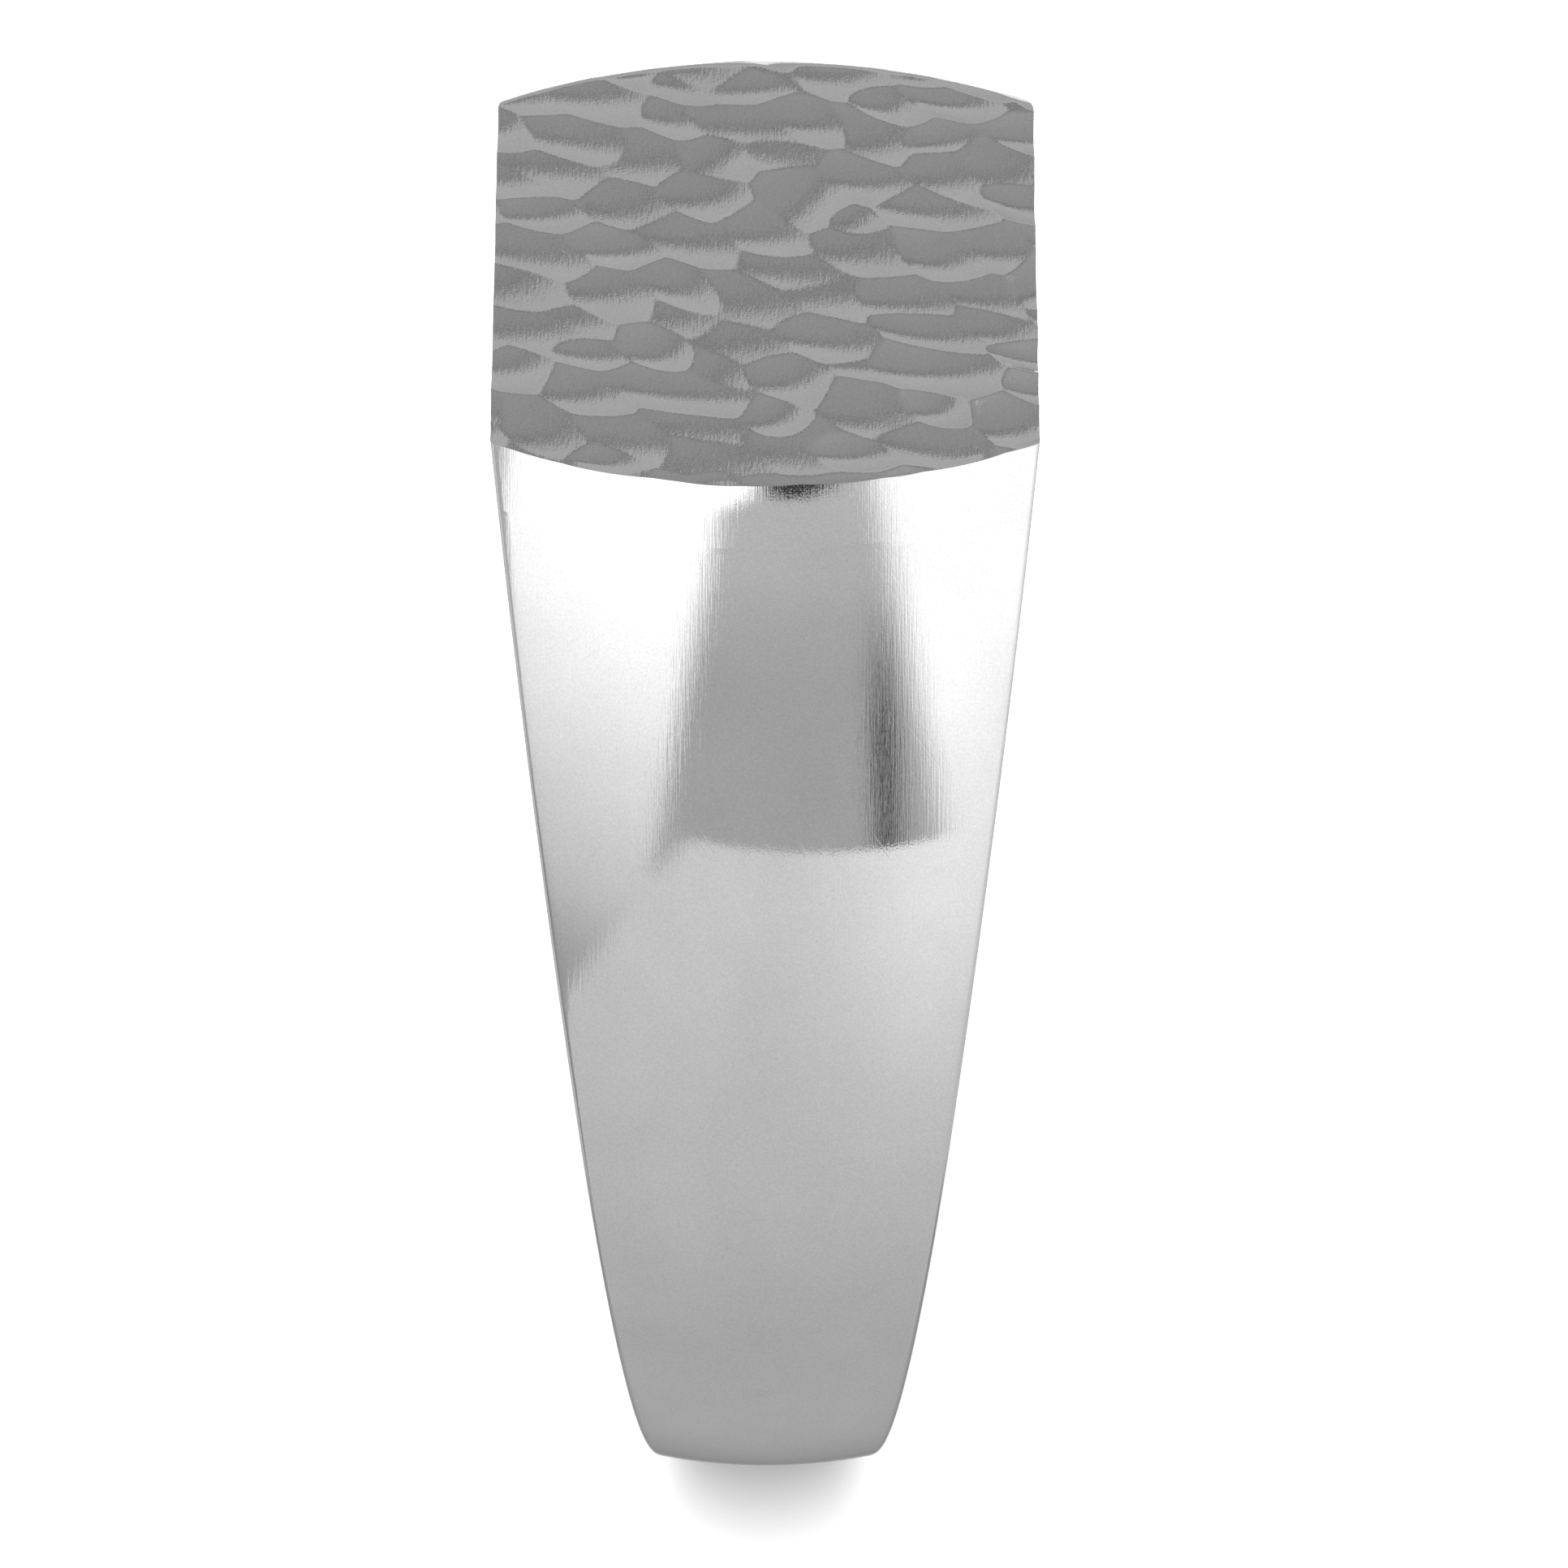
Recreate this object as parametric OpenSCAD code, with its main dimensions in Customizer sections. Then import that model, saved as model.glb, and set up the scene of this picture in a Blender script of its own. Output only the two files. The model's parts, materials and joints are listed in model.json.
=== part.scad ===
// Signet ring with a hammered, cushion-shaped table.
//
// The finger's bore lies along X, with its centre at the origin. +Z points to the table, and the
// shank meets itself in a soldered butt joint at the back, at -Z. Millimetres.

/* [Finger] */
// Inside diameter of the ring, 19.8 being US size 10
bore_d = 19.8; // [15:0.1:24]

/* [Shank] */
// Thickness of the shank on its middle line
shank_t = 1.7; // [1.4:0.1:3]
// Width of the shank at the back, where it is narrowest
back_w = 3.7; // [2:0.1:6]
// Radius of the dome across the outer face, from one side to the other
dome_r = 9.7; // [8:0.1:20]
// Width of the soldered gap between the shank's two ends
butt_gap = 0.1; // [0.05:0.01:0.3]

/* [Head] */
// Thickness of the whole head over the finger, plate and solder included
head_t = 2.4; // [2:0.1:5]
// Width of the table, along the finger
table_w = 10; // [6:0.1:12]
// Length of the table, across the finger, on its middle line
table_l = 16.4; // [12:0.1:20]
// Radius of the shoulders' curve, from the shank's circle up to the table's ends
shoulder_r = 25.4; // [18:0.2:60]
// Thickness of the hammered plate, up to the ridges between its dimples
plate_t = 1; // [0.6:0.1:1.5]
// Thickness of the solder film under the plate
solder_t = 0.1; // [0.05:0.01:0.3]

/* [Hammering] */
// Radius of the domed hammer's face
hammer_r = 2.6; // [1.5:0.1:6]
// Depth of the deepest dimples
blow_depth = 0.12; // [0.05:0.01:0.2]
// How much of that depth the lightest blow lacks
blow_spread = 0.04; // [0:0.01:0.04]
// How far a blow lands from its place in the row, each way
blow_stray = 0.05; // [0:0.01:0.1]
// Narrowest land that is left between two dimples
land_w = 0.05; // [0.02:0.01:0.3]

/* [Hidden] */
$fn = 128;

// How far a shape that cuts or overlaps another runs past it
past = 1;

bore_r = bore_d / 2;
back_r = bore_r + shank_t;
table_z = bore_r + head_t;
plate_z = table_z - plate_t;
solder_z = plate_z - solder_t;

// A shoulder's curve touches the shank's circle and ends at the table's end. centre_gap is the
// distance between the centres of the two, and the angle at the ring's centre, from the table's
// end to the curve's centre, follows from the three sides of their triangle.
centre_gap = shoulder_r - back_r;
end_gap = norm([table_l / 2, table_z]);
centre_angle = acos((centre_gap ^ 2 + end_gap ^ 2 - shoulder_r ^ 2) / (2 * centre_gap * end_gap));

// Angle above the ring's middle at which the curve leaves the circle, the place of the curve's
// centre, and the angle that takes it round to past the table's middle, with 2 degrees to spare
join_lean = atan2(table_z, table_l / 2) + centre_angle - 180;
curve_y = centre_gap * cos(join_lean);
curve_z = centre_gap * sin(join_lean);
shoulder_arc = atan2(table_z + curve_z, curve_y - past) + 2 - join_lean;

// The half band's arc stops just short of the back's middle, inside the slit
half_arc = 90 + join_lean - asin(butt_gap / 4 / back_r);

// Rows of blows lie in a brick pattern, as far as the table reaches. Two blows that stray towards
// each other still leave the land between their dimples.
dimple_r = sqrt(blow_depth * (2 * hammer_r - blow_depth));
blow_pitch = 2 * dimple_r + land_w + 2 * sqrt(2) * blow_stray;
row_pitch = blow_pitch * sin(60);
rows = floor((table_l / 2 + dimple_r) / row_pitch);
columns = floor((table_w / 2 + dimple_r) / blow_pitch);

// Width between the two sides at height z, which is the same taper from the back to the table
function width_at(z) = back_w + (table_w - back_w) * (z + back_r) / (table_z + back_r);

// Section of the solid band through one radius: the radius runs along x, and the finger along y
module band_section() {
    intersection() {
        translate([back_r - dome_r, 0]) circle(r = dome_r);
        translate([0, -table_w / 2 - past / 4]) square([back_r + past, table_w + past / 2]);
    }
}

// The whole band as a closed ring of one width, with the finger's bore still filled
module hoop() {
    rotate([0, 90, 0]) rotate_extrude() band_section();
}

// One shoulder as a band of one width, which is solid from the shank's arc to past the middle
module shoulder() {
    intersection() {
        rotate([0, 90, 0])
            rotate([0, 0, 90 + join_lean])
                translate([-centre_gap, 0, 0])
                    rotate_extrude(angle = shoulder_arc)
                        translate([centre_gap, 0]) band_section();
        translate([-table_w, -past, -back_r]) cube([2 * table_w, 2 * back_r, 3 * back_r]);
    }
}

// Half of the band: from the slit at the back round to the shoulder, and on to the table
module half_band() {
    rotate([0, 90, 0])
        rotate([0, 0, 90 + join_lean])
            mirror([0, 1, 0]) rotate_extrude(angle = half_arc) band_section();
    shoulder();
}

// Everything between the two tapering sides, from one height to another
module between_sides(low, high) {
    rotate([90, 0, 0])
        linear_extrude(height = 2 * (back_r + past), center = true)
            polygon([
                [-width_at(low) / 2, low],
                [width_at(low) / 2, low],
                [width_at(high) / 2, high],
                [-width_at(high) / 2, high]
            ]);
}

// A slice of the ring's outer form, from one height to another
module form(low, high) {
    intersection() {
        union() {
            half_band();
            mirror([0, 1, 0]) half_band();
        }
        between_sides(low, high);
    }
}

module finger() {
    rotate([0, 90, 0]) cylinder(r = bore_r, h = table_w + 2 * past, center = true);
}

// The slit at the back, where the shank's two ends face each other
module butt_slit() {
    translate([-table_w / 2, -butt_gap / 2, -back_r - past])
        cube([table_w, butt_gap, back_r]);
}

// The dents of the domed hammer, each with its own stray and depth. There are many of them and
// each is small, so they are drawn coarser than the rest.
module blows() {
    for (row = [-rows : rows], column = [-columns : columns]) {
        stray = rands(-blow_stray, blow_stray, 2, 100 * row + column);
        depth = blow_depth - rands(0, blow_spread, 1, 100 * column + row)[0];
        shift = row % 2 == 0 ? 0 : blow_pitch / 2;
        translate([
            column * blow_pitch + shift + stray[0],
            row * row_pitch + stray[1],
            table_z - depth + hammer_r
        ])
            sphere(r = hammer_r, $fn = 32);
    }
}

module ring_body() {
    color("silver")
        difference() {
            form(-back_r - past, solder_z);
            finger();
            butt_slit();
        }
}

module table_plate() {
    color("darkgray")
        difference() {
            form(plate_z, table_z);
            blows();
        }
}

module table_solder() {
    color("gainsboro") form(solder_z, plate_z);
}

module shank_solder() {
    color("gainsboro")
        intersection() {
            difference() {
                hoop();
                finger();
            }
            between_sides(-back_r - past, 0);
            butt_slit();
        }
}

ring_body();
table_plate();
table_solder();
shank_solder();
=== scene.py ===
# %% [markdown]
# # A signet ring with a hammered table
#
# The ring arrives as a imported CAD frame: a body, a thin plate on top of it, the film of solder
# between them and a wafer of solder at the back. The frame gives every place and size. This
# notebook gives each of them the surface that a maker's files, hammer and abrasives would leave.

# %% Load the frame
import json
import math

import bpy
import numpy as np
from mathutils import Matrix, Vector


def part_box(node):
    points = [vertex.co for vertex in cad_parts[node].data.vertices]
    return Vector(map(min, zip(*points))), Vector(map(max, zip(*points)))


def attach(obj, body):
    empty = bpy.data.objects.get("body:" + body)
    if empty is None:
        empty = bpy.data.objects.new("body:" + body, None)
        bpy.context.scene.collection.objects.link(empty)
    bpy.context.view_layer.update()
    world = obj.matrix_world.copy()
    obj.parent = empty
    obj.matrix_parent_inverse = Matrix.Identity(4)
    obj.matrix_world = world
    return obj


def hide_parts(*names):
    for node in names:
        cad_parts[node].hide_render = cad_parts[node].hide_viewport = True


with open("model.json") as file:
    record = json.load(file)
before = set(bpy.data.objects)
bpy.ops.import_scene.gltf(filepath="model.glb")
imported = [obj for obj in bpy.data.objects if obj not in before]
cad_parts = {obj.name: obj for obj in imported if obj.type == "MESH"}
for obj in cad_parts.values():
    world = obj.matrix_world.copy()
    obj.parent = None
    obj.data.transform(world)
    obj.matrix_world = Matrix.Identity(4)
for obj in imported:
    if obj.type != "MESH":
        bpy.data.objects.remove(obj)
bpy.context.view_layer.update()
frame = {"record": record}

# %% [markdown]
# ## The sizes that everything follows
#
# The finger's bore lies along X with its centre at the origin, and the table faces +Z. Heights
# and widths are read from the frame's boxes. Two radii can't be read from a box, so they are
# named here: the dome across the band, and the curve of the shoulders. The two softenings are
# the radii that filing and polishing leave on the outer edges and round the bore. The band's
# width depends on height and a dome's height on the width, so such places are found by going
# round a few times until they settle.

# %% Read the sizes from the frame
MM = 0.001
SETTLE_STEPS = 6
DOME_R = 9.7 * MM
SHOULDER_R = 25.4 * MM
OUTER_SOFTENING = 0.18 * MM
BORE_SOFTENING = 0.35 * MM

plate_low, plate_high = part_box("table_plate")
body_low, body_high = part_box("ring_body")
wafer_low, wafer_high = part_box("shank_solder")

bore_r = frame["record"]["mounts"][0]["dims"]["r_mm"] * MM
back_r = -body_low[2]
table_z = plate_high[2]
plate_z = plate_low[2]
head_z = body_high[2]
table_w = plate_high[0] - plate_low[0]
gap_at_back = wafer_high[1] - wafer_low[1]

# The sides taper in a straight line. The wafer's box is widest at its top, on the bore's wall.
taper = (table_w - (wafer_high[0] - wafer_low[0])) / (table_z - wafer_high[2])


def width_at(z):
    """Width of the band at height z."""
    return table_w + taper * (z - table_z)


# The shoulder's curve touches the shank's circle, and passes through the plate's lower end.
centre_gap = SHOULDER_R - back_r
end_gap = math.hypot(plate_high[1], plate_z)
centre_angle = math.acos(
    (centre_gap**2 + end_gap**2 - SHOULDER_R**2) / (2 * centre_gap * end_gap)
)
join_lean = math.atan2(plate_z, plate_high[1]) + centre_angle - math.pi
curve_y = -centre_gap * math.cos(join_lean)
curve_z = -centre_gap * math.sin(join_lean)
print(f"the curve leaves the circle {math.degrees(join_lean):.2f} degrees above the middle")

# %% [markdown]
# ## One rule for the ring's outside
#
# A maker files the band to a dome across, softens its edges and lets the sides taper. Across the
# band a point has a number: 0 on the crown, 1 where the dome ends and 2 where the softened edge
# meets the flat side, with a minus sign on the other side. One function turns that number and
# the band's width into a place, and the body, the plate and the solder all use it, so that
# their surfaces are flush where they meet.


# %% Define the places on the outside
def across(number, width):
    """Place across the band, and height over the crown, which is nought or less."""
    edge = width / 2 - OUTER_SOFTENING
    dome_end = np.arcsin(edge / (DOME_R - OUTER_SOFTENING))
    size = np.abs(number)
    dome = dome_end * np.clip(size, 0, 1)
    soft = dome_end + (np.pi / 2 - dome_end) * np.clip(size - 1, 0, 1)
    on_dome = size <= 1
    x = np.where(on_dome, DOME_R * np.sin(dome), edge + OUTER_SOFTENING * np.sin(soft))
    soft_drop = (DOME_R - OUTER_SOFTENING) * np.cos(dome_end) + OUTER_SOFTENING * np.cos(soft)
    over = np.where(on_dome, DOME_R * np.cos(dome), soft_drop) - DOME_R
    return np.sign(number) * x, over


def around(number, lean, centre, radius):
    """Point at an angle of lean round a centre (y, z), for a band that tapers with height."""
    z = centre[1] + radius * np.sin(lean)
    for _ in range(SETTLE_STEPS):
        x, over = across(number, width_at(z))
        z = centre[1] + (radius + over) * np.sin(lean)
    return x, centre[0] + (radius + over) * np.cos(lean), z


def shoulder_at(number, z):
    """Place across, place along the table and lean of the shoulder's face at height z."""
    x, over = across(number, width_at(z))
    lean = np.arcsin((z - curve_z) / (SHOULDER_R + over))
    return x, curve_y + (SHOULDER_R + over) * np.cos(lean), lean


# %% [markdown]
# ## The body
#
# The body is a bent strip: a dome outside, the round bore inside, flat sides and a flat seat for
# the plate. Boxes and cylinders could be cut with booleans, but where the taper crosses the
# dome a cut leaves slivers, and polished metal shows each of them as a kink. A torus already
# has the right weave of rings and rows, so one is added and each of its rings is moved to its
# place round the finger.

# %% Lay out the rows of one ring of vertices
DOME_ROWS = np.linspace(-1, 1, 61)
SOFT_ROWS = np.linspace(1, 2, 7)[1:]
SIDE_ROWS = np.linspace(0, 1, 7)[1:-1]
TURN_ROWS = np.linspace(0, np.pi / 2, 7)
WALL_ROWS = np.linspace(1, -1, 25)[1:-1]
outside_rows = np.concatenate([-SOFT_ROWS[::-1], DOME_ROWS, SOFT_ROWS])


def inside(angle, turn, share):
    """Point on the bore's wall, or on its softened edge, at an angle round the finger."""
    away = bore_r + BORE_SOFTENING * (1 - math.sin(turn))
    z = away * math.sin(angle)
    half = width_at(z) / 2 - BORE_SOFTENING * (1 - math.cos(turn))
    return np.array([half * share, away * math.cos(angle), z])


def ring_of_points(outside, angle):
    """Closes one ring: the outside's points, then a side, the bore's wall and the other side."""
    right = [inside(angle, turn, 1) for turn in TURN_ROWS]
    left = [inside(angle, turn, -1) for turn in TURN_ROWS]
    wall = [inside(angle, np.pi / 2, share) for share in WALL_ROWS]
    down = [outside[-1] + (right[0] - outside[-1]) * share for share in SIDE_ROWS]
    up = [left[0] + (outside[0] - left[0]) * share for share in SIDE_ROWS]
    return np.array([*outside, *down, *right, *wall, *left[::-1], *up])


# %% Lay out the rings from the slit at the back up to the middle of the head
ARC_RINGS, SHOULDER_RINGS, SEAT_RINGS = 70, 45, 12
seat_x, seat_y, seat_lean = shoulder_at(outside_rows, head_z)
corner_angle = math.atan2(head_z, seat_y.max())
slit_lean = -math.pi / 2 + math.asin(gap_at_back / 2 / back_r)

half_rings = []
for lean in np.linspace(slit_lean, join_lean, ARC_RINGS + 1):
    points = np.stack(around(outside_rows, lean, (0, 0), back_r), 1)
    half_rings.append(ring_of_points(points, lean))
for share in np.linspace(0, 1, SHOULDER_RINGS + 1)[1:]:
    lean = join_lean + (seat_lean - join_lean) * share
    points = np.stack(around(outside_rows, lean, (curve_y, curve_z), SHOULDER_R), 1)
    half_rings.append(ring_of_points(points, join_lean + (corner_angle - join_lean) * share))
for share in np.linspace(0, 1, SEAT_RINGS + 1)[1:]:
    points = np.stack([seat_x, seat_y * (1 - share), np.full_like(seat_x, head_z)], 1)
    half_rings.append(
        ring_of_points(points, corner_angle + (math.pi / 2 - corner_angle) * share)
    )
half_rings[0][:, 1] = gap_at_back / 2
other_half = [ring * (1, -1, 1) for ring in half_rings[-2::-1]]
rings = np.array(half_rings + other_half)
print(f"{len(rings)} rings of {rings.shape[1]} points")


# %% Helpers for every piece
def select_only(piece):
    """Selects one piece and makes it the active one."""
    bpy.ops.object.select_all(action="DESELECT")
    piece.select_set(True)
    bpy.context.view_layer.objects.active = piece


def move_points(piece, points):
    """Gives each vertex of a piece its own new place."""
    piece.data.vertices.foreach_set("co", np.asarray(points, dtype=np.float32).ravel())
    piece.data.update()


def outward_and_smooth(piece, sharp_degrees=35):
    """Turns the normals outward, and shades smooth all but the sharp edges."""
    select_only(piece)
    bpy.ops.object.mode_set(mode="EDIT")
    bpy.ops.mesh.select_all(action="SELECT")
    bpy.ops.mesh.normals_make_consistent(inside=False)
    bpy.ops.mesh.select_all(action="DESELECT")
    bpy.ops.object.mode_set(mode="OBJECT")
    bpy.ops.object.shade_smooth_by_angle(angle=math.radians(sharp_degrees))


# %% Add the torus and move its rings
bpy.ops.object.select_all(action="DESELECT")
bpy.ops.mesh.primitive_torus_add(
    major_segments=rings.shape[0],
    minor_segments=rings.shape[1],
    major_radius=(bore_r + back_r) / 2,
    minor_radius=(back_r - bore_r) / 2,
)
body = bpy.context.object
body.name = "body_with_shoulders"
move_points(body, rings.reshape(-1, 3))
print("body width in mm:", round((rings[..., 0].max() - rings[..., 0].min()) / MM, 3))

# %% [markdown]
# ### The slit at the back
#
# A torus joins its last ring to its first, but a bent strip has two ends. The faces that bridge
# the slit are deleted, edges and all, and each open end is closed with one flat face. If only
# the faces went, their edges would stay, and filling the holes would bring the bridge back.

# %% Open the torus at the back, and close the shank's two ends
bpy.ops.object.mode_set(mode="EDIT")
bpy.ops.mesh.select_mode(type="FACE")
bpy.ops.mesh.select_all(action="DESELECT")
bpy.ops.object.mode_set(mode="OBJECT")
first_ring, last_ring = rings.shape[1], len(body.data.vertices) - rings.shape[1]
for face in body.data.polygons:
    corners = list(face.vertices)
    face.select = min(corners) < first_ring and max(corners) >= last_ring
bpy.ops.object.mode_set(mode="EDIT")
bpy.ops.mesh.delete(type="FACE")
bpy.ops.mesh.select_mode(type="EDGE")
bpy.ops.mesh.select_all(action="DESELECT")
bpy.ops.mesh.select_non_manifold()
bpy.ops.mesh.fill_holes(sides=0)
bpy.ops.object.mode_set(mode="OBJECT")
outward_and_smooth(body)
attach(body, "root")
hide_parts("ring_body")
print("body faces:", len(body.data.polygons))

# %% [markdown]
# ## The wafer of solder at the back
#
# The strip's two ends face each other across a slit that a jeweller fills with solder and then
# files flush. The wafer is the ring's own section, drawn as a filled circle with as many points
# as a ring has rows, and extruded across the slit.

# %% Make the wafer
bpy.ops.mesh.primitive_circle_add(vertices=rings.shape[1], radius=bore_r, fill_type="NGON")
wafer = bpy.context.object
wafer.name = "solder_at_the_back"
move_points(wafer, rings[0])
bpy.ops.object.mode_set(mode="EDIT")
bpy.ops.mesh.select_all(action="SELECT")
bpy.ops.mesh.extrude_region_move(TRANSFORM_OT_translate={"value": (0, -gap_at_back, 0)})
bpy.ops.object.mode_set(mode="OBJECT")
move_points(wafer, np.concatenate([rings[0], rings[-1]]))
outward_and_smooth(wafer)
bpy.ops.object.shade_flat()
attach(wafer, "root")
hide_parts("shank_solder")
print("wafer thickness in mm:", round(gap_at_back / MM, 3))

# %% [markdown]
# ## The film of solder under the plate
#
# The film has the outline of the head at its height: two curved ends and two straight sides.
# It starts as a filled circle with one point for each point of the outline, and its lower face
# is extruded up to the plate.


# %% Make the film
def outline_at(z):
    """The head's outline at height z, as a closed loop of points."""
    x, y, _ = shoulder_at(outside_rows, z)
    far_end = np.stack([x, y, np.full_like(x, z)], 1)
    return np.concatenate([far_end, far_end[::-1] * (1, -1, 1)])


low_outline, high_outline = outline_at(head_z), outline_at(plate_z)
bpy.ops.mesh.primitive_circle_add(
    vertices=len(low_outline), radius=bore_r, fill_type="NGON"
)
film = bpy.context.object
film.name = "solder_under_the_plate"
move_points(film, low_outline)
bpy.ops.object.mode_set(mode="EDIT")
bpy.ops.mesh.select_all(action="SELECT")
bpy.ops.mesh.extrude_region_move(
    TRANSFORM_OT_translate={"value": (0, 0, plate_z - head_z)}
)
bpy.ops.object.mode_set(mode="OBJECT")
move_points(film, np.concatenate([low_outline, high_outline]))
outward_and_smooth(film)
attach(film, "root")
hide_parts("table_solder")
print("film thickness in mm:", round((plate_z - head_z) / MM, 3))

# %% [markdown]
# ## The hammered plate
#
# A planishing hammer leaves shallow, slightly long dents that overlap, so that nothing of the
# flat sheet is left between them, only the crisp ridges where two dents meet. Each blow is a
# shallow bowl, and the sheet keeps the lowest of all the bowls at each point. The blows run over
# the edges, because the sheet was hammered before it was soldered on and filed to shape. They lie
# in slanting rows, stray from them, and grow harder towards the right edge.

# %% Strike the blows
HAMMER_SEED = 11
ROWS, BLOWS_IN_ROW = range(-9, 10), range(-6, 7)
DENT_TURN, TURN_SPREAD = math.radians(-45), 0.3
LONG_PITCH, SHORT_PITCH = 1.75 * MM, 1.2 * MM
STRAY = 0.46 * MM
DENT_LONG, DENT_SHORT = 1.5 * MM, 0.92 * MM
DENT_DEPTH = 0.095 * MM
SIZES, LONGS, SHORTS, DEPTHS = (0.75, 1.3), (0.8, 1.2), (0.85, 1.15), (0.7, 1.25)
HARD_FROM, HARD_TO, HARDER = 2.2 * MM, 4.2 * MM, 0.6
hammer = np.random.default_rng(HAMMER_SEED)

blows = []
for row in ROWS:
    for number in BLOWS_IN_ROW:
        along = (number + (0.5 if row % 2 else 0)) * LONG_PITCH + hammer.uniform(-STRAY, STRAY)
        beside = row * SHORT_PITCH + hammer.uniform(-STRAY, STRAY)
        blow_x = along * math.cos(DENT_TURN) - beside * math.sin(DENT_TURN)
        blow_y = along * math.sin(DENT_TURN) + beside * math.cos(DENT_TURN)
        turn = DENT_TURN + hammer.normal(0, TURN_SPREAD)
        size = hammer.uniform(*SIZES)
        long = DENT_LONG * size * hammer.uniform(*LONGS)
        short = DENT_SHORT * size * hammer.uniform(*SHORTS)
        hard = 1 + HARDER * np.clip((blow_x - HARD_FROM) / (HARD_TO - HARD_FROM), 0, 1)
        depth = DENT_DEPTH * hard * hammer.uniform(*DEPTHS)
        blows.append((blow_x, blow_y, turn, long, short, depth))
print(len(blows), "blows")

# %% [markdown]
# ### One surface from all the blows
#
# The deepest bowl at each point would give ridges with no thickness, so a soft maximum is taken,
# which rounds them by a few thousandths of a millimetre. The whole face is then lifted by about
# the dents' mean depth, so that the plate keeps the thickness that the frame gives it. Near the
# table's two curved ends the waves fade, since filing evens out the rim, and the far rim
# falls away a little.

# %% Work out the hammered face
SPARE = 0.07 * MM
RIDGE_ROUND = 0.003 * MM


def sunk(x, y):
    """How deep the hammered face lies under the plate's level at each point."""
    sum_of_bowls = np.ones_like(x)
    for blow_x, blow_y, turn, long, short, depth in blows:
        along = (x - blow_x) * math.cos(turn) + (y - blow_y) * math.sin(turn)
        beside = (y - blow_y) * math.cos(turn) - (x - blow_x) * math.sin(turn)
        bowl = depth * (1 - (along / long) ** 2 - (beside / short) ** 2)
        sum_of_bowls += np.exp(bowl / RIDGE_ROUND)
    return RIDGE_ROUND * np.log(sum_of_bowls) - SPARE


# %% Lay out the grid of the hammered face
DOME_COLUMNS, SOFT_COLUMNS, GRID_ALONG = 181, 5, 300
FAR_RIM, FAR_DROP = 0.25 * MM, 0.05 * MM
END_RIM, WAVES_LEFT = 0.35 * MM, 0.35
FACE_STEPS = 4
soft_columns = np.linspace(1, 2, SOFT_COLUMNS + 1)[1:]
columns = np.concatenate([-soft_columns[::-1], np.linspace(-1, 1, DOME_COLUMNS), soft_columns])
shares = np.linspace(-1, 1, GRID_ALONG + 1)
column, share = (a.ravel() for a in np.meshgrid(columns, shares))


def on_plate(column, share, z):
    """Place across and along at height z, where share runs from the near end to the far one."""
    x, y, _ = shoulder_at(column, z)
    return x, y * share


z = np.full_like(column, table_z)
for _ in range(FACE_STEPS):
    x, y = on_plate(column, share, z)
    from_rim = np.clip((1 - share) * y.max() / FAR_RIM, 0, 1)
    from_end = np.clip((1 - abs(share)) * y.max() / END_RIM, 0, 1)
    depth_kept = WAVES_LEFT + (1 - WAVES_LEFT) * from_end ** 2 * (3 - 2 * from_end)
    z = table_z - sunk(x, y) * depth_kept - FAR_DROP * (1 - from_rim) ** 2
top = np.stack([x, y, z], 1).astype(np.float32)
print("face from", round(z.min() / MM, 3), "to", round(z.max() / MM, 3), "mm")
print("mean", round(z.mean() / MM, 3), "where the frame has", round(table_z / MM, 3))

# %% Add a grid, and move its points to the hammered face
bpy.ops.object.select_all(action="DESELECT")
bpy.ops.mesh.primitive_grid_add(
    x_subdivisions=len(columns) - 1, y_subdivisions=GRID_ALONG, size=table_w
)
plate = bpy.context.object
plate.name = "hammered_plate"
move_points(plate, top)

# %% [markdown]
# ### The plate's rim
#
# The rim goes down to the solder in a few steps. Each step extrudes the open edge, and then
# moves each new point to where the ring's outside lies at its height. A rim point is known by
# its place, since extruding straight down keeps its x and y.

# %% Extrude the grid's rim down to the solder, and close it underneath
WALL_STEPS = 5
PLATE_SHARP = 28
rim_rule = {
    (float(point[0]), float(point[1])): (column[i], share[i], z[i])
    for i, point in enumerate(top)
}
wall_drop = (table_z - plate_z) / WALL_STEPS
bpy.ops.object.mode_set(mode="EDIT")
bpy.ops.mesh.select_mode(type="EDGE")
bpy.ops.mesh.select_all(action="DESELECT")
bpy.ops.mesh.select_non_manifold()
for step in range(1, WALL_STEPS + 1):
    bpy.ops.mesh.extrude_edges_move(TRANSFORM_OT_translate={"value": (0, 0, -wall_drop)})
    bpy.ops.object.mode_set(mode="OBJECT")
    rim = [v for v in plate.data.vertices if v.select]
    moved = {}
    for vertex in rim:
        rule = rim_rule[(vertex.co.x, vertex.co.y)]
        height = rule[2] + (plate_z - rule[2]) * step / WALL_STEPS
        x, y = on_plate(np.array([rule[0]]), rule[1], height)
        vertex.co = (x[0], y[0], height)
        moved[(vertex.co.x, vertex.co.y)] = rule
    rim_rule = moved
    bpy.ops.object.mode_set(mode="EDIT")
bpy.ops.mesh.edge_face_add()
bpy.ops.object.mode_set(mode="OBJECT")
outward_and_smooth(plate, sharp_degrees=PLATE_SHARP)
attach(plate, "root")
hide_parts("table_plate")
print("plate faces:", len(plate.data.polygons))

# %% [markdown]
# ## Metal
#
# Silver is a metal with an almost white colour, so what tells it from a mirror is its finish.
# Three effects are shared by every piece and are built once as node groups: the fine lines that
# abrasive paper leaves round the band, a fine grain, and a few faint scratches. All read Object
# coordinates, in metres, so they run across the seams without a break.


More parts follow.
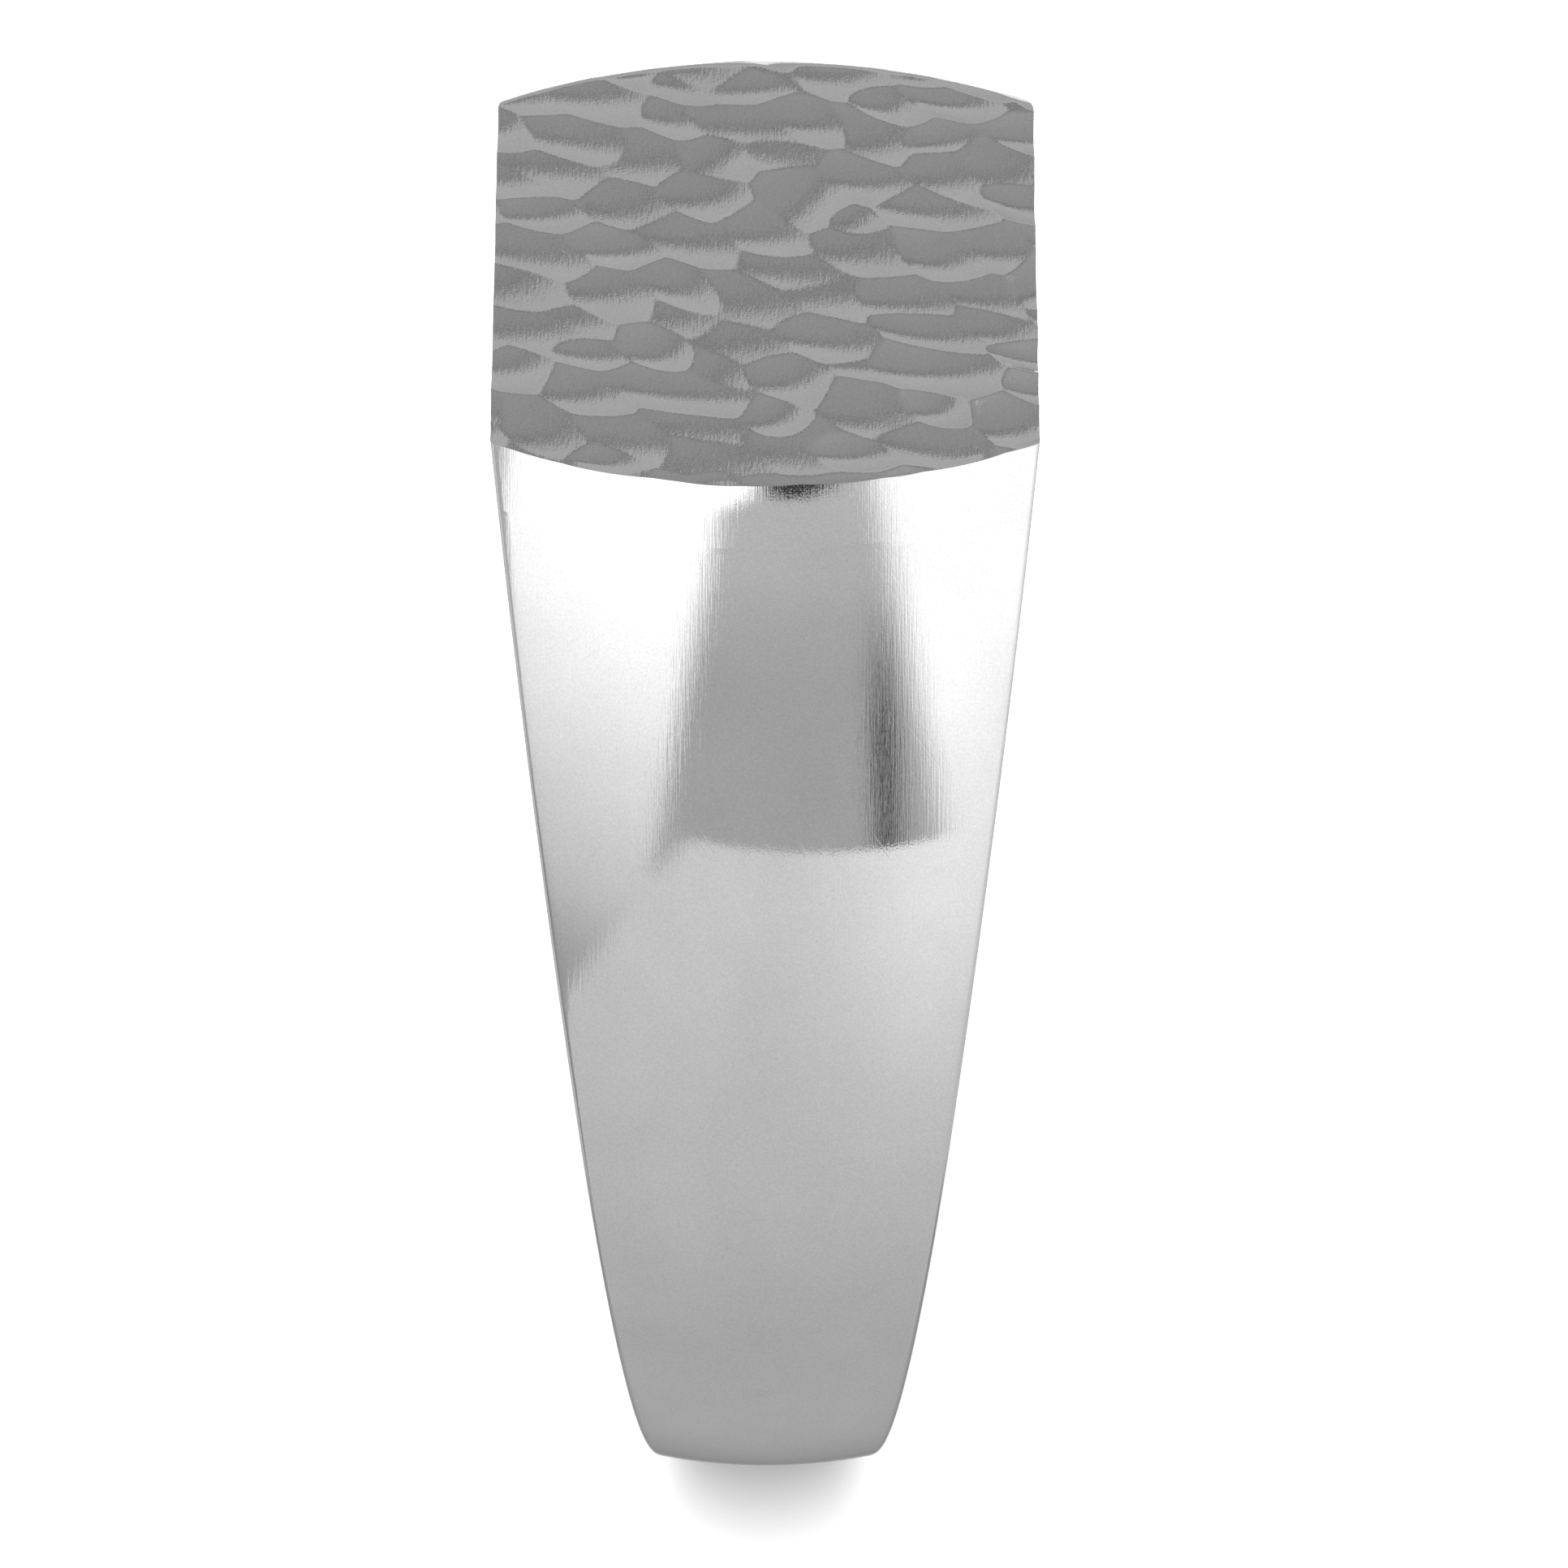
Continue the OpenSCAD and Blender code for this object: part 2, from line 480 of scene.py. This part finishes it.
# %% Helpers for node groups
def new_group(name, inputs, outputs):
    """A node group with named number inputs and outputs, and its two end nodes."""
    group = bpy.data.node_groups.new(name, "ShaderNodeTree")
    for label, value in inputs.items():
        socket = group.interface.new_socket(label, in_out="INPUT", socket_type="NodeSocketFloat")
        socket.default_value = value
    for label in outputs:
        group.interface.new_socket(label, in_out="OUTPUT", socket_type="NodeSocketFloat")
    return group, group.nodes.new("NodeGroupInput"), group.nodes.new("NodeGroupOutput")


def math_node(nodes, links, operation, first, second=None, third=None):
    """One math node. Each value is a number or another node's socket."""
    node = nodes.new("ShaderNodeMath")
    node.operation = operation
    for socket, value in zip(node.inputs, (first, second, third)):
        if isinstance(value, bpy.types.NodeSocket):
            links.new(value, socket)
        elif value is not None:
            socket.default_value = value
    return node.outputs[0]


def object_places(nodes):
    """The place on the piece, in metres."""
    return nodes.new("ShaderNodeTexCoord").outputs["Object"]


def stretched(nodes, links, place, width_mm, length_mm):
    """A place in units of a mark's width across the band and its length along it."""
    split = nodes.new("ShaderNodeSeparateXYZ")
    links.new(place, split.inputs[0])
    per_width = math_node(nodes, links, "DIVIDE", 1 / MM, width_mm)
    per_length = math_node(nodes, links, "DIVIDE", 1 / MM, length_mm)
    joined = nodes.new("ShaderNodeCombineXYZ")
    for axis, per_mark in enumerate((per_width, per_length, per_length)):
        scaled = math_node(nodes, links, "MULTIPLY", split.outputs[axis], per_mark)
        links.new(scaled, joined.inputs[axis])
    return joined.outputs[0]


# %% [markdown]
# ### Brushed lines
#
# Abrasive paper drawn round the band leaves lines that are long round the finger and narrow
# across it. A noise that is squeezed along X and stretched along Y and Z gives such lines, on
# the outside, the sides and the bore alike, and needs no unwrapping.

# %% Build the brushed lines
lines_group, lines_in, lines_out = new_group(
    "brushed_lines",
    {"Line width mm": 0.03, "Line length mm": 2.0, "Amount": 1.0},
    ["Height", "Mask"],
)
nodes, links = lines_group.nodes, lines_group.links
line_places = stretched(
    nodes,
    links,
    object_places(nodes),
    lines_in.outputs["Line width mm"],
    lines_in.outputs["Line length mm"],
)
noise = nodes.new("ShaderNodeTexNoise")
noise.inputs["Scale"].default_value = 1.0
noise.inputs["Detail"].default_value = 3.0
noise.inputs["Roughness"].default_value = 0.6
links.new(line_places, noise.inputs["Vector"])
centred = math_node(nodes, links, "SUBTRACT", noise.outputs[0], 0.5)
links.new(
    math_node(nodes, links, "MULTIPLY", centred, lines_in.outputs["Amount"]),
    lines_out.inputs["Height"],
)
links.new(noise.outputs[0], lines_out.inputs["Mask"])
print("group:", lines_group.name)

# %% [markdown]
# ### Grain
#
# Under the lines the metal has a fine, even grain, as after a light blast or a worn-in polish.
# It is noise with little detail, with a height for the relief and a mask for the tint. The same
# group at a size of over a millimetre gives the soft mottling of handled silver.

# %% Build the grain
grain_group, grain_in, grain_out = new_group(
    "fine_grain", {"Grain size mm": 0.05, "Amount": 1.0}, ["Height", "Mask"]
)
nodes, links = grain_group.nodes, grain_group.links
grain = nodes.new("ShaderNodeTexNoise")
grain.inputs["Detail"].default_value = 2.0
links.new(object_places(nodes), grain.inputs["Vector"])
links.new(
    math_node(nodes, links, "DIVIDE", 1 / MM, grain_in.outputs["Grain size mm"]),
    grain.inputs["Scale"],
)
centred = math_node(nodes, links, "SUBTRACT", grain.outputs[0], 0.5)
links.new(
    math_node(nodes, links, "MULTIPLY", centred, grain_in.outputs["Amount"]),
    grain_out.inputs["Height"],
)
links.new(grain.outputs[0], grain_out.inputs["Mask"])
print("group:", grain_group.name)

# %% [markdown]
# ### Scratches
#
# A worn ring carries a few thin scratches that run at a slant to the brushed lines. Only the
# highest peaks of a stretched noise are kept, so they are sparse and short. A turn about the
# table's long axis slants them on the parts of the shank that face along it.

# %% Build the scratches
PEAKS_FROM, PEAKS_TO = 0.66, 0.76
scratch_group, scratch_in, scratch_out = new_group(
    "faint_scratches",
    {"Width mm": 0.03, "Length mm": 3.0, "Turn": 0.6, "Amount": 1.0},
    ["Height"],
)
nodes, links = scratch_group.nodes, scratch_group.links
turned = nodes.new("ShaderNodeVectorRotate")
turned.rotation_type = "Y_AXIS"
links.new(object_places(nodes), turned.inputs["Vector"])
links.new(scratch_in.outputs["Turn"], turned.inputs["Angle"])
scratch_places = stretched(
    nodes,
    links,
    turned.outputs[0],
    scratch_in.outputs["Width mm"],
    scratch_in.outputs["Length mm"],
)
noise = nodes.new("ShaderNodeTexNoise")
noise.inputs["Scale"].default_value = 1.0
noise.inputs["Detail"].default_value = 0.0
links.new(scratch_places, noise.inputs["Vector"])
only_peaks = nodes.new("ShaderNodeMapRange")
only_peaks.inputs["From Min"].default_value = PEAKS_FROM
only_peaks.inputs["From Max"].default_value = PEAKS_TO
links.new(noise.outputs[0], only_peaks.inputs["Value"])
links.new(
    math_node(nodes, links, "MULTIPLY", only_peaks.outputs[0], scratch_in.outputs["Amount"]),
    scratch_out.inputs["Height"],
)
print("group:", scratch_group.name)

# %% [markdown]
# ### The metals
#
# One function makes all three finishes: fine satin on the body, a rougher one on the hammered
# face, and a faintly yellower one on the solder. The three reliefs are added and drive one
# bump. Roughness follows the lines, and the tint follows the grain and the mottling. The
# hammered face is the upper side of the plate, and its filed rim has the body's satin.


# %% Define a metal
ROUGHNESS_SPREAD = 0.015
SCRATCH_DEPTH = -0.07
MOTTLE_MM, MOTTLE_WEIGHT = 1.3, 0.35
TINT_DARK, TINT_PALE = 0.84, 1.16


def group_node(nodes, group, **values):
    """Places a node group in a material and sets its inputs; _ in a name stands for a space."""
    node = nodes.new("ShaderNodeGroup")
    node.node_tree = group
    for label, value in values.items():
        node.inputs[label.replace("_", " ")].default_value = value
    return node


def metal(name, colour, roughness, line_mm, length_mm, lines, grain_mm, grains, depth):
    """A satin metal. lines and grains weigh the two reliefs, and depth is their height in mm."""
    material = bpy.data.materials.new(name)
    material.use_nodes = True
    nodes, links = material.node_tree.nodes, material.node_tree.links
    shader = nodes["Principled BSDF"]
    shader.inputs["Metallic"].default_value = 1.0
    brushed = group_node(
        nodes, lines_group, Line_width_mm=line_mm, Line_length_mm=length_mm, Amount=lines
    )
    grainy = group_node(nodes, grain_group, Grain_size_mm=grain_mm, Amount=grains)
    scratched = group_node(nodes, scratch_group, Amount=SCRATCH_DEPTH)
    mottled = group_node(nodes, grain_group, Grain_size_mm=MOTTLE_MM)
    relief = math_node(nodes, links, "ADD", brushed.outputs["Height"], grainy.outputs["Height"])
    relief = math_node(nodes, links, "ADD", relief, scratched.outputs["Height"])
    bump = nodes.new("ShaderNodeBump")
    bump.inputs["Strength"].default_value = 1.0
    bump.inputs["Distance"].default_value = depth * MM
    links.new(relief, bump.inputs["Height"])
    links.new(bump.outputs[0], shader.inputs["Normal"])
    rough = nodes.new("ShaderNodeMapRange")
    rough.inputs["To Min"].default_value = roughness - ROUGHNESS_SPREAD
    rough.inputs["To Max"].default_value = roughness + ROUGHNESS_SPREAD
    links.new(brushed.outputs["Mask"], rough.inputs["Value"])
    links.new(rough.outputs[0], shader.inputs["Roughness"])
    tint = nodes.new("ShaderNodeMix")
    tint.data_type = "RGBA"
    tint.inputs["A"].default_value = (*[c * TINT_DARK for c in colour], 1)
    tint.inputs["B"].default_value = (*[c * TINT_PALE for c in colour], 1)
    shade = math_node(
        nodes, links, "MULTIPLY_ADD", mottled.outputs["Mask"], MOTTLE_WEIGHT, -MOTTLE_WEIGHT / 2
    )
    shade = math_node(nodes, links, "ADD", grainy.outputs["Mask"], shade)
    links.new(shade, tint.inputs["Factor"])
    links.new(tint.outputs["Result"], shader.inputs["Base Color"])
    return material


# %% Make the metals and give them to the pieces
SILVER = (0.86, 0.86, 0.86)
SOLDER = (0.85, 0.85, 0.84)
HAMMERED_LEAN = 0.6
satin_silver = metal(
    "satin_silver",
    SILVER,
    roughness=0.03,
    line_mm=0.03,
    length_mm=0.8,
    lines=1.0,
    grain_mm=0.04,
    grains=0.15,
    depth=0.0014,
)
hammered_silver = metal(
    "hammered_silver",
    SILVER,
    roughness=0.04,
    line_mm=0.06,
    length_mm=0.35,
    lines=1.0,
    grain_mm=0.05,
    grains=0.4,
    depth=0.0032,
)
solder_silver = metal(
    "solder_silver",
    SOLDER,
    roughness=0.05,
    line_mm=0.03,
    length_mm=0.8,
    lines=0.5,
    grain_mm=0.04,
    grains=0.2,
    depth=0.0014,
)
for piece, finish in ((body, satin_silver), (wafer, solder_silver), (film, solder_silver)):
    piece.data.materials.clear()
    piece.data.materials.append(finish)
plate.data.materials.clear()
plate.data.materials.append(hammered_silver)
plate.data.materials.append(satin_silver)
for face in plate.data.polygons:
    face.material_index = 0 if face.normal.z > HAMMERED_LEAN else 1
hammered_faces = sum(face.material_index == 0 for face in plate.data.polygons)
print("hammered faces:", hammered_faces, "of", len(plate.data.polygons))

# %% [markdown]
# ## Floor
#
# The floor is plain and pale, and the ring stands on the back of its shank. Mirrored in the
# metal, the floor is part of the studio below, so the plane itself is hidden from reflections.

# %% Lay the floor
FLOOR_SIZE = 4
PAPER = (0.9, 0.9, 0.9, 1)
bpy.ops.mesh.primitive_plane_add(size=FLOOR_SIZE, location=(0, 0, -back_r))
floor = bpy.context.object
floor.name = "floor"
paper = bpy.data.materials.new("pale_paper")
paper.use_nodes = True
paper_shader = paper.node_tree.nodes["Principled BSDF"]
paper_shader.inputs["Base Color"].default_value = PAPER
paper_shader.inputs["Roughness"].default_value = 1.0
floor.data.materials.append(paper)
floor.visible_glossy = False
print("floor at", round(-back_r / MM, 3), "mm")

# %% [markdown]
# ## Studio
#
# Polished metal shows what stands round it, so the studio makes most of the look: a softbox on
# each side of the camera with a grey gap between them, a pale bench in front, and a grey wall
# behind the ring. Real lamps and cards would stand in other views. Instead the world gives each
# direction its tone. Spans below are in degrees, and tones are linear light. rise goes up from the
# horizon, turn goes round from the camera's side, and side goes round from the far side.

# %% Read each ray's direction
DEGREES = 180 / math.pi
world = bpy.data.worlds.new("studio")
bpy.context.scene.world = world
world.use_nodes = True
nodes, links = world.node_tree.nodes, world.node_tree.links
background = nodes["Background"]
direction = nodes.new("ShaderNodeTexCoord")
parts = nodes.new("ShaderNodeSeparateXYZ")
links.new(direction.outputs["Generated"], parts.inputs[0])


def calc(operation, first, second=None, third=None):
    """One math node of the world."""
    return math_node(nodes, links, operation, first, second, third)


toward = calc("MULTIPLY", parts.outputs[1], -1.0)
turn = calc("MULTIPLY", calc("ARCTAN2", parts.outputs[0], toward), DEGREES)
rise = calc("MULTIPLY", calc("ARCSINE", parts.outputs[2]), DEGREES)
side = calc("MULTIPLY", calc("ARCTAN2", parts.outputs[0], parts.outputs[1]), DEGREES)


# %% Helpers for the studio's tones
def ramp(value, low, high, at_low=0.0, at_high=1.0):
    """A smooth change from at_low to at_high as value goes from low to high."""
    node = nodes.new("ShaderNodeMapRange")
    node.interpolation_type = "SMOOTHSTEP"
    links.new(value, node.inputs["Value"])
    node.inputs["From Min"].default_value = low
    node.inputs["From Max"].default_value = high
    node.inputs["To Min"].default_value = at_low
    node.inputs["To Max"].default_value = at_high
    return node.outputs[0]


def blend(mask, under, over):
    """under where mask is 0 and over where it is 1."""
    node = nodes.new("ShaderNodeMix")
    sockets = node.inputs[0], node.inputs[2], node.inputs[3]
    for socket, value in zip(sockets, (mask, under, over)):
        if isinstance(value, bpy.types.NodeSocket):
            links.new(value, socket)
        else:
            socket.default_value = value
    return node.outputs[0]


def both(first, second):
    """A mask that is 1 where both masks are, or a tone times another."""
    return calc("MULTIPLY", first, second)


# %% [markdown]
# ### The pale bench
#
# Under the horizon everything is the bench the ring stands on. It is palest far away and to the
# right, and darkens behind the ring on the way down, where the ring shades it.

# %% Tone the bench under the horizon
NEAR_SPAN, NEAR_TONE, MIDDLE_TONE = (-80, -25), 0.41, 0.51
FAR_SPAN, FAR_TONE = (-30, 0), 0.62
RIGHT_SPAN, RIGHT_RISE, RIGHT_GAIN = (0, 42), (-38, -2), 1.42
SHADE_SIDE, SHADE_START, SHADE_END, SHADE_TONE = (0, -0.2), (-80, -30), (-34, -42), 0.22
pale = blend(ramp(rise, *FAR_SPAN), ramp(rise, *NEAR_SPAN, NEAR_TONE, MIDDLE_TONE), FAR_TONE)
to_the_right = both(ramp(turn, *RIGHT_SPAN), ramp(rise, *RIGHT_RISE))
pale = both(pale, blend(to_the_right, 1.0, RIGHT_GAIN))
shaded = both(both(ramp(toward, *SHADE_SIDE), ramp(rise, *SHADE_START)), ramp(rise, *SHADE_END))
pale = blend(shaded, pale, SHADE_TONE)

# %% [markdown]
# ### Two softboxes and the gap between them
#
# The softboxes fade towards the bench. The gap leans, its left side is soft and its right side
# crisper. A dark stand is at its right, and the camera's lens makes a small dark spot high in it.

# %% Tone the softboxes
LEFT_BOX_EDGE, PAST_LEFT_BOX = (-66, -61), 0.42
LEFT_BOX_SPAN, LEFT_BOX_TONES = (-14, 34), (0.53, 1.40)
LEFT_FADE_SPAN, LEFT_FADE = (-17, -5), (0.62, 1.0)
RIGHT_BOX_SPAN, RIGHT_BOX_TONES = (-4, 13), (0.90, 1.12)
left_box = ramp(rise, *LEFT_BOX_SPAN, *LEFT_BOX_TONES)
left_box = blend(ramp(turn, *LEFT_BOX_EDGE), PAST_LEFT_BOX, left_box)
left_box = both(left_box, ramp(rise, *LEFT_FADE_SPAN, *LEFT_FADE))
right_box = ramp(rise, *RIGHT_BOX_SPAN, *RIGHT_BOX_TONES)

# %% Shape the gap
GAP_LEFT_SLOPE, GAP_LEFT = 0.36, -22.5
NARROWING_SPAN, NARROWING = (27.5, 32), (0, 14)
GAP_RIGHT_SLOPE, GAP_RIGHT = -0.33, 36.8
BLUR_SPAN, LEFT_BLUR, RIGHT_BLUR = (2, 20), (1.0, 3.2), 4
GAP_SPAN, GAP_TONES = (12, 28), (0.375, 0.49)
gap_left = calc("MULTIPLY_ADD", rise, GAP_LEFT_SLOPE, GAP_LEFT)
gap_left = calc("ADD", gap_left, ramp(rise, *NARROWING_SPAN, *NARROWING))
gap_right = calc("MULTIPLY_ADD", rise, GAP_RIGHT_SLOPE, GAP_RIGHT)
past_left = calc("SUBTRACT", turn, gap_left)
past_left = ramp(calc("DIVIDE", past_left, ramp(rise, *BLUR_SPAN, *LEFT_BLUR)), -1, 1)
past_right = ramp(calc("SUBTRACT", turn, gap_right), -RIGHT_BLUR, RIGHT_BLUR)
gap_tone = ramp(rise, *GAP_SPAN, *GAP_TONES)

# %% Add the stand and the lens
STAND_LEFT, STAND_RIGHT, STAND_TOP, STAND_TONE = (22.5, 24.5), (29, 27), (21, 7), 0.07
LENS_MIDDLE, LENS_CURVE, LENS_LOW, LENS_TILT = 8.5, 0.003, 29.85, -0.03
LENS_LEFT, LENS_RIGHT, LENS_RIM, LENS_TONE = (-6, 3), (24, 15), (-0.2, 0.1), 0.03
stand = both(both(ramp(turn, *STAND_LEFT), ramp(turn, *STAND_RIGHT)), ramp(rise, *STAND_TOP))
gap_tone = blend(stand, gap_tone, STAND_TONE)
from_lens = calc("SUBTRACT", turn, LENS_MIDDLE)
lens_low = calc("MULTIPLY_ADD", both(from_lens, from_lens), LENS_CURVE, LENS_LOW)
lens_low = calc("MULTIPLY_ADD", turn, LENS_TILT, lens_low)
lens = both(ramp(turn, *LENS_LEFT), ramp(turn, *LENS_RIGHT))
lens = both(lens, ramp(calc("SUBTRACT", rise, lens_low), *LENS_RIM))
front = blend(past_left, left_box, gap_tone)
front = blend(past_right, front, right_box)
front = blend(lens, front, LENS_TONE)

# %% [markdown]
# ### The bench's edge
#
# Where the bench ends, the metal shows a crisp line. Its far edge curves a little, and its left
# edge runs down at a slant, so the lower of the two is the edge.

# %% Put the bench in front
FAR_EDGE_CURVE, FAR_EDGE_SLOPE, FAR_EDGE = -0.0009, -0.0366, -0.26
LEFT_EDGE_SLOPE, LEFT_EDGE = 0.64, 10.85
EDGE_BLUR = 0.2
curve = calc("MULTIPLY_ADD", turn, FAR_EDGE_CURVE, FAR_EDGE_SLOPE)
far_edge = calc("MULTIPLY_ADD", turn, curve, FAR_EDGE)
left_edge = calc("MULTIPLY_ADD", turn, LEFT_EDGE_SLOPE, LEFT_EDGE)
edge = calc("MINIMUM", far_edge, left_edge)
over_edge = ramp(calc("SUBTRACT", rise, edge), -EDGE_BLUR, EDGE_BLUR)
front = blend(over_edge, pale, front)

# %% [markdown]
# ### Behind the ring
#
# The hammered face lies flat, so what the camera sees in it stands behind the ring: a grey wall
# over a paler sweep, which meet at a slant with a dark line between. Which of the two a dent's
# side mirrors decides whether it is light or dark. To the right stand a small lamp and a dark
# screen, and the ceiling, the far sides and a low backdrop are bright.

# %% Tone the wall and the sweep
SLANT = 0.9
SWEEP_SPAN, SWEEP_TONES = (0, 26), (0.34, 0.41)
WALL_SPAN, WALL_TONES, WALL_EDGE = (27, 60), (0.27, 0.33), (26, 27)
LINE_LOW, LINE_HIGH, LINE_TONE = (26.2, 27), (30, 28), 0.17
slant = calc("MULTIPLY_ADD", side, SLANT, rise)
sweep = ramp(slant, *SWEEP_SPAN, *SWEEP_TONES)
wall = ramp(slant, *WALL_SPAN, *WALL_TONES)
back = blend(ramp(slant, *WALL_EDGE), sweep, wall)
back = blend(both(ramp(slant, *LINE_LOW), ramp(slant, *LINE_HIGH)), back, LINE_TONE)

# %% Add the lamp, the screen and the bright surroundings
FOOT = (14, 18)
LAMP_LEFT, LAMP_RIGHT, LAMP_TONE = (15, 17), (24, 23), 0.52
SCREEN_LEFT, SCREEN_RIGHT, SCREEN_TONE = (24, 26), (48, 40), 0.06
CEILING_SPAN, CEILING_TONE = (60, 75), 0.8
LEFT_SPAN, RIGHT_SIDE_SPAN, SIDES_TONE = (-25, -40), (44, 60), 0.95
BACKDROP_SPAN, BACKDROP_TONE = (2, -1), 0.85
HORIZON = 0.2
lamp = both(both(ramp(side, *LAMP_LEFT), ramp(side, *LAMP_RIGHT)), ramp(rise, *FOOT))
screen = both(both(ramp(side, *SCREEN_LEFT), ramp(side, *SCREEN_RIGHT)), ramp(rise, *FOOT))
back = blend(lamp, back, LAMP_TONE)
back = blend(screen, back, SCREEN_TONE)
back = blend(ramp(rise, *CEILING_SPAN), back, CEILING_TONE)
back = blend(ramp(side, *LEFT_SPAN), back, SIDES_TONE)
back = blend(ramp(side, *RIGHT_SIDE_SPAN), back, SIDES_TONE)
back = blend(ramp(rise, *BACKDROP_SPAN), back, BACKDROP_TONE)
back = blend(ramp(rise, HORIZON, -HORIZON), back, pale)

# %% [markdown]
# ### What each kind of ray meets
#
# Reflections meet the studio. The floor and other rough surfaces are lit by a large soft lamp
# about the camera, which gives the ring a small soft shadow. The camera sees plain white.

# %% Join the studio and connect it
BEHIND = 0.1
STUDIO_GAIN = 1.06
CAMERA_LEAN = 0.577
LAMP_SPAN, ROOM_LIGHT, LAMP_LIGHT = (0.4, 1.15), 1.15, 4.6
SEEN_WHITE = 1.18
studio = both(blend(ramp(toward, BEHIND, -BEHIND), front, back), STUDIO_GAIN)
rays = nodes.new("ShaderNodeLightPath")
near_camera = calc("MULTIPLY_ADD", parts.outputs[2], CAMERA_LEAN, toward)
soft_light = blend(ramp(near_camera, *LAMP_SPAN), ROOM_LIGHT, LAMP_LIGHT)
seen = blend(rays.outputs["Is Diffuse Ray"], SEEN_WHITE, soft_light)
seen = blend(rays.outputs["Is Glossy Ray"], seen, studio)
background.inputs["Color"].default_value = (1, 1, 1, 1)
links.new(seen, background.inputs["Strength"])
print("studio nodes:", len(nodes))

# %% [markdown]
# ## Camera
#
# The camera looks along the table's length and 30 degrees down, from 0.4 m away through a long
# lens, as for a small piece of jewellery. The view transform is the plain one, so that the
# tones above are what the picture shows.

# %% Set the camera
VIEW_RISE = math.radians(30)
CAMERA_AWAY = 0.407
WIDTH_IN_VIEW = 29.3483 * MM
AIM_RIGHT, AIM_UP = 0.342 * MM, 1.162 * MM
SENSOR_MM = 36
CLIP_NEAR, CLIP_FAR = 0.01, 10
camera_data = bpy.data.cameras.new("camera")
camera_data.sensor_width = SENSOR_MM
camera_data.lens = CAMERA_AWAY / WIDTH_IN_VIEW * SENSOR_MM
camera_data.clip_start = CLIP_NEAR
camera_data.clip_end = CLIP_FAR
camera = bpy.data.objects.new("camera", camera_data)
bpy.context.scene.collection.objects.link(camera)
back_off = np.array([0, -math.cos(VIEW_RISE), math.sin(VIEW_RISE)])
up = np.array([0, math.sin(VIEW_RISE), math.cos(VIEW_RISE)])
camera.location = back_off * CAMERA_AWAY + up * AIM_UP + np.array([AIM_RIGHT, 0, 0])
camera.rotation_euler = (math.pi / 2 - VIEW_RISE, 0, 0)
bpy.context.scene.camera = camera
bpy.context.scene.view_settings.view_transform = "Standard"
print(f"lens {camera_data.lens:.0f} mm")
